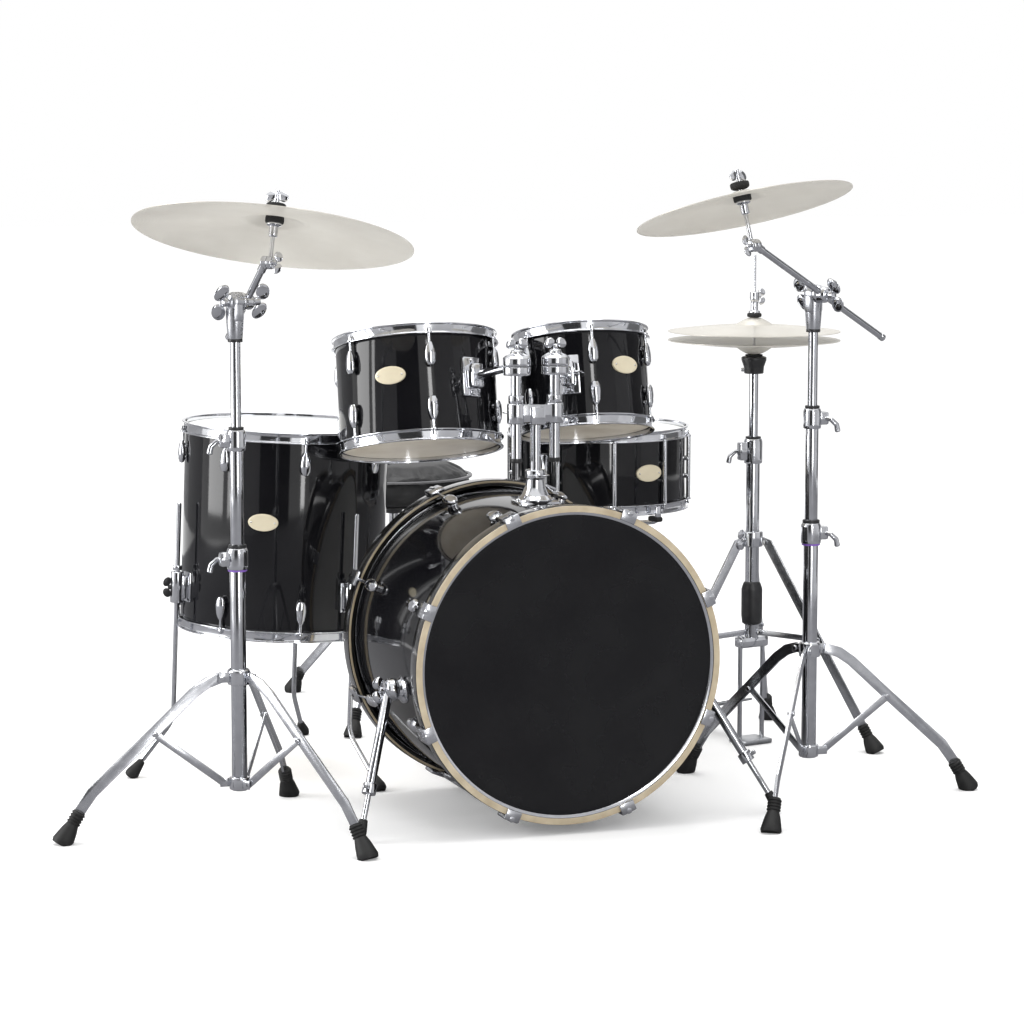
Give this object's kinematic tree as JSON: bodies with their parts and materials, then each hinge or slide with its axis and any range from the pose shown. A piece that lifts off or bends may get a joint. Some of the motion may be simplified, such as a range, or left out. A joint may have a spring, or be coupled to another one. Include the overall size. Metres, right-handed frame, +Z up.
{
  "type": "acoustic drum kit",
  "caption": "Black acoustic drum kit with mounted toms, floor tom, snare on a stand, hi-hat with pedal, boom cymbal stands, bass pedal and round throne.",
  "frame": {"origin": "on the floor under the centre of the whole kit", "axes": "+X to the right as the audience sees it, +Y towards the drummer, +Z up; the bass drum's front faces -Y"},
  "size_m": [1.8048, 1.7412, 1.2124],
  "materials": {
    "black_lacquer": "gloss",
    "maple_hoop": "gloss",
    "black_hoop": "gloss",
    "chrome": "polished",
    "chrome_tube": "polished",
    "plated_strip": "satin",
    "cymbal_bronze": "satin",
    "pedal_steel": "satin",
    "seat_vinyl": "satin",
    "rubber": "matte",
    "drum_head": "satin",
    "black_head": "satin",
    "black_plastic": "satin",
    "felt": "matte",
    "badge": "satin"
  },
  "bodies": {
    "kit_base": {"bass_shell": "black_lacquer", "bass_front_hoop_head": "maple_hoop", "bass_rear_hoop_head": "black_hoop", "floor_tom_shell": "black_lacquer", "floor_tom_top": "chrome", "floor_tom_bottom": "chrome", "snare_stand_base": "chrome_tube", "left_stand_base_tube": "chrome_tube", "right_stand_base_tube": "chrome_tube", "hihat_base": "chrome_tube", "pedal_frame": "pedal_steel", "throne_base": "chrome_tube"},
    "spur_left": {"bass_spur_left": "chrome_tube"},
    "spur_right": {"bass_spur_right": "chrome_tube"},
    "tom_mount": {"tom_post": "chrome_tube"},
    "left_holder": {"tom_holder_left": "chrome_tube"},
    "right_holder": {"tom_holder_right": "chrome_tube"},
    "mid_tom": {"mid_tom_shell": "black_lacquer", "mid_tom_top": "chrome", "mid_tom_bottom": "chrome"},
    "high_tom": {"high_tom_shell": "black_lacquer", "high_tom_top": "chrome", "high_tom_bottom": "chrome"},
    "floor_tom_leg_1": {"floor_tom_leg_1": "chrome_tube"},
    "floor_tom_leg_2": {"floor_tom_leg_2": "chrome_tube"},
    "floor_tom_leg_3": {"floor_tom_leg_3": "chrome_tube"},
    "snare_drum": {"snare_basket": "chrome_tube", "snare_shell": "black_lacquer", "snare_top": "chrome", "snare_bottom": "chrome"},
    "left_collar": {"left_stand_collar": "chrome_tube"},
    "left_leg_1": {"left_stand_leg_1": "plated_strip"},
    "left_brace_1": {"left_stand_brace_1": "plated_strip"},
    "left_leg_2": {"left_stand_leg_2": "plated_strip"},
    "left_brace_2": {"left_stand_brace_2": "plated_strip"},
    "left_leg_3": {"left_stand_leg_3": "plated_strip"},
    "left_brace_3": {"left_stand_brace_3": "plated_strip"},
    "left_upper": {"left_stand_upper_tube": "chrome_tube"},
    "left_boom": {"left_stand_boom_arm": "chrome_tube"},
    "left_tilter": {"left_stand_tilter": "chrome_tube"},
    "left_cymbal": {"left_cymbal": "cymbal_bronze"},
    "right_collar": {"right_stand_collar": "chrome_tube"},
    "right_leg_1": {"right_stand_leg_1": "plated_strip"},
    "right_brace_1": {"right_stand_brace_1": "plated_strip"},
    "right_leg_2": {"right_stand_leg_2": "plated_strip"},
    "right_brace_2": {"right_stand_brace_2": "plated_strip"},
    "right_leg_3": {"right_stand_leg_3": "plated_strip"},
    "right_brace_3": {"right_stand_brace_3": "plated_strip"},
    "right_upper": {"right_stand_upper_tube": "chrome_tube"},
    "right_boom": {"right_stand_boom_arm": "chrome_tube"},
    "right_tilter": {"right_stand_tilter": "chrome_tube"},
    "right_cymbal": {"right_cymbal": "cymbal_bronze"},
    "hihat_upper": {"hihat_upper_tube": "chrome_tube", "hihat_bottom_cymbal": "cymbal_bronze"},
    "hihat_rod": {"hihat_rod": "chrome_tube", "hihat_top_cymbal": "cymbal_bronze"},
    "hihat_footboard": {"hihat_footboard": "pedal_steel"},
    "pedal_footboard": {"pedal_footboard": "pedal_steel"},
    "pedal_beater": {"pedal_beater": "pedal_steel"},
    "throne_seat": {"throne_seat": "seat_vinyl"}
  },
  "joints": [
    {"name": "bass_spur_left_fold", "type": "hinge", "parent": "kit_base", "child": "spur_left", "pos_m": [-0.28095, -0.59328, 0.262], "axis": [-1, 0, 0], "range_deg": [0, 90]},
    {"name": "bass_spur_right_fold", "type": "hinge", "parent": "kit_base", "child": "spur_right", "pos_m": [0.30305, -0.59328, 0.262], "axis": [-1, 0, 0], "range_deg": [0, 24]},
    {"name": "tom_post_height", "type": "slide", "parent": "kit_base", "child": "tom_mount", "axis": [0, 0, 1], "range_m": [-0.01, 0.06]},
    {"name": "tom_holder_left_swivel", "type": "hinge", "parent": "tom_mount", "child": "left_holder", "pos_m": [-0.02695, -0.54828, 0.848], "axis": [0, 0, 1], "range_deg": [-5, 10]},
    {"name": "tom_holder_right_swivel", "type": "hinge", "parent": "tom_mount", "child": "right_holder", "pos_m": [0.04905, -0.54828, 0.848], "axis": [0, 0, 1], "range_deg": [-10, 5]},
    {"name": "mid_tom_tilt", "type": "hinge", "parent": "left_holder", "child": "mid_tom", "pos_m": [-0.02695, -0.54828, 0.848], "axis": [1, 0, 0], "range_deg": [-5, 12]},
    {"name": "high_tom_tilt", "type": "hinge", "parent": "right_holder", "child": "high_tom", "pos_m": [0.04905, -0.54828, 0.848], "axis": [1, 0, 0], "range_deg": [-7, 12]},
    {"name": "floor_tom_leg_1_slide", "type": "slide", "parent": "kit_base", "child": "floor_tom_leg_1", "axis": [0.038, -0.0131, 0.9992], "range_m": [0, 0.07]},
    {"name": "floor_tom_leg_2_slide", "type": "slide", "parent": "kit_base", "child": "floor_tom_leg_2", "axis": [0.038, -0.0131, 0.9992], "range_m": [0, 0.07]},
    {"name": "floor_tom_leg_3_slide", "type": "slide", "parent": "kit_base", "child": "floor_tom_leg_3", "axis": [0.038, -0.0131, 0.9992], "range_m": [0, 0.07]},
    {"name": "snare_tilt", "type": "hinge", "parent": "kit_base", "child": "snare_drum", "pos_m": [0.33005, -0.03128, 0.455], "axis": [0, 1, 0], "range_deg": [-12, 25]},
    {"name": "left_tripod_fold", "type": "slide", "parent": "kit_base", "child": "left_collar", "axis": [0, 0, 1], "range_m": [0, 0.12]},
    {"name": "left_leg_1_hinge", "type": "hinge", "parent": "left_collar", "child": "left_leg_1", "pos_m": [-0.58794, -0.52472, 0.29], "axis": [-0.0174, -0.9998, 0], "range_deg": [0, 43.2]},
    {"name": "left_brace_1_hinge", "type": "hinge", "parent": "kit_base", "child": "left_brace_1", "pos_m": [-0.58395, -0.52479, 0.093], "axis": [-0.0174, -0.9998, 0], "range_deg": [-42.6, 0]},
    {"name": "left_leg_2_hinge", "type": "hinge", "parent": "left_collar", "child": "left_leg_2", "pos_m": [-0.54044, -0.55327, 0.29], "axis": [0.8746, 0.4848, 0], "range_deg": [0, 43.2]},
    {"name": "left_brace_2_hinge", "type": "hinge", "parent": "kit_base", "child": "left_brace_2", "pos_m": [-0.54237, -0.54977, 0.093], "axis": [0.8746, 0.4848, 0], "range_deg": [-42.6, 0]},
    {"name": "left_leg_3_hinge", "type": "hinge", "parent": "left_collar", "child": "left_leg_3", "pos_m": [-0.53947, -0.49785, 0.29], "axis": [-0.8572, 0.515, 0], "range_deg": [0, 43.2]},
    {"name": "left_brace_3_hinge", "type": "hinge", "parent": "kit_base", "child": "left_brace_3", "pos_m": [-0.54153, -0.50128, 0.093], "axis": [-0.8572, 0.515, 0], "range_deg": [-42.6, 0]},
    {"name": "left_stand_height", "type": "slide", "parent": "kit_base", "child": "left_upper", "axis": [0, 0, 1], "range_m": [-0.1, 0.15]},
    {"name": "left_boom_tilt", "type": "hinge", "parent": "left_upper", "child": "left_boom", "pos_m": [-0.55595, -0.52528, 0.975], "axis": [0.9613, 0.2756, 0], "range_deg": [-20, 12]},
    {"name": "left_tilter_tilt", "type": "hinge", "parent": "left_boom", "child": "left_tilter", "pos_m": [-0.51408, -0.58422, 1.04814], "axis": [0.7771, -0.6293, 0], "range_deg": [-16, 14]},
    {"name": "left_cymbal_swing", "type": "hinge", "parent": "left_tilter", "child": "left_cymbal", "pos_m": [-0.49093, -0.57074, 1.13666], "axis": [0.7771, -0.6293, 0], "range_deg": [-8, 8], "stiffness_Nm_per_rad": 6, "springref_deg": -2.29},
    {"name": "right_tripod_fold", "type": "slide", "parent": "kit_base", "child": "right_collar", "axis": [0, 0, 1], "range_m": [0, 0.12]},
    {"name": "right_leg_1_hinge", "type": "hinge", "parent": "right_collar", "child": "right_leg_1", "pos_m": [0.58988, -0.58663, 0.29], "axis": [0.1045, 0.9945, 0], "range_deg": [0, 43.2]},
    {"name": "right_brace_1_hinge", "type": "hinge", "parent": "kit_base", "child": "right_brace_1", "pos_m": [0.5859, -0.58621, 0.093], "axis": [0.1045, 0.9945, 0], "range_deg": [-42.6, 0]},
    {"name": "right_leg_2_hinge", "type": "hinge", "parent": "right_collar", "child": "right_leg_2", "pos_m": [0.54504, -0.55405, 0.29], "axis": [-0.9135, -0.4067, 0], "range_deg": [0, 43.2]},
    {"name": "right_brace_2_hinge", "type": "hinge", "parent": "kit_base", "child": "right_brace_2", "pos_m": [0.54666, -0.5577, 0.093], "axis": [-0.9135, -0.4067, 0], "range_deg": [-42.6, 0]},
    {"name": "right_leg_3_hinge", "type": "hinge", "parent": "right_collar", "child": "right_leg_3", "pos_m": [0.53924, -0.60917, 0.29], "axis": [0.809, -0.5878, 0], "range_deg": [0, 43.2]},
    {"name": "right_brace_3_hinge", "type": "hinge", "parent": "kit_base", "child": "right_brace_3", "pos_m": [0.54159, -0.60593, 0.093], "axis": [0.809, -0.5878, 0], "range_deg": [-42.6, 0]},
    {"name": "right_stand_height", "type": "slide", "parent": "kit_base", "child": "right_upper", "axis": [0, 0, 1], "range_m": [-0.1, 0.15]},
    {"name": "right_boom_tilt", "type": "hinge", "parent": "right_upper", "child": "right_boom", "pos_m": [0.55805, -0.58328, 0.972], "axis": [0.4226, -0.9063, 0], "range_deg": [-20, 12]},
    {"name": "right_tilter_tilt", "type": "hinge", "parent": "right_boom", "child": "right_tilter", "pos_m": [0.39296, -0.68675, 1.07052], "axis": [0.9026, 0.4305, 0], "range_deg": [-16, 14]},
    {"name": "right_cymbal_swing", "type": "hinge", "parent": "right_tilter", "child": "right_cymbal", "pos_m": [0.37204, -0.66496, 1.17049], "axis": [0.9026, 0.4305, 0], "range_deg": [-8, 8], "stiffness_Nm_per_rad": 6, "springref_deg": -1.17},
    {"name": "hihat_height", "type": "slide", "parent": "kit_base", "child": "hihat_upper", "axis": [0, 0, 1], "range_m": [-0.06, 0.1]},
    {"name": "hihat_rod_slide", "type": "slide", "parent": "hihat_upper", "child": "hihat_rod", "axis": [0, 0, 1], "range_m": [-0.0162, 0]},
    {"name": "hihat_footboard_press", "type": "hinge", "parent": "kit_base", "child": "hihat_footboard", "pos_m": [0.59841, 0.24204, 0.016], "axis": [0.9703, 0.2419, 0], "range_deg": [0, 12], "stiffness_Nm_per_rad": 6, "springref_deg": -34.38},
    {"name": "pedal_footboard_press", "type": "hinge", "parent": "kit_base", "child": "pedal_footboard", "pos_m": [0.01105, 0.05672, 0.018], "axis": [1, 0, 0], "range_deg": [0, 12], "stiffness_Nm_per_rad": 4, "springref_deg": -34.38},
    {"name": "pedal_beater_swing", "type": "hinge", "parent": "kit_base", "child": "pedal_beater", "pos_m": [0.01105, -0.23128, 0.222], "axis": [1, 0, 0], "range_deg": [0, 50]},
    {"name": "throne_height", "type": "slide", "parent": "kit_base", "child": "throne_seat", "axis": [0, 0, 1], "range_m": [-0.04, 0.12]}
  ],
  "couplings": [
    {"joint": "left_leg_1_hinge", "follows": "left_tripod_fold", "rad_per_m": 6.2541},
    {"joint": "left_brace_1_hinge", "follows": "left_tripod_fold", "rad_per_m": -6.1627},
    {"joint": "left_leg_2_hinge", "follows": "left_tripod_fold", "rad_per_m": 6.2541},
    {"joint": "left_brace_2_hinge", "follows": "left_tripod_fold", "rad_per_m": -6.1627},
    {"joint": "left_leg_3_hinge", "follows": "left_tripod_fold", "rad_per_m": 6.2541},
    {"joint": "left_brace_3_hinge", "follows": "left_tripod_fold", "rad_per_m": -6.1627},
    {"joint": "right_leg_1_hinge", "follows": "right_tripod_fold", "rad_per_m": 6.2541},
    {"joint": "right_brace_1_hinge", "follows": "right_tripod_fold", "rad_per_m": -6.1627},
    {"joint": "right_leg_2_hinge", "follows": "right_tripod_fold", "rad_per_m": 6.2541},
    {"joint": "right_brace_2_hinge", "follows": "right_tripod_fold", "rad_per_m": -6.1627},
    {"joint": "right_leg_3_hinge", "follows": "right_tripod_fold", "rad_per_m": 6.2541},
    {"joint": "right_brace_3_hinge", "follows": "right_tripod_fold", "rad_per_m": -6.1627},
    {"joint": "hihat_rod_slide", "follows": "hihat_footboard_press", "m_per_rad": -0.075},
    {"joint": "pedal_beater_swing", "follows": "pedal_footboard_press", "ratio": 4.05}
  ]
}
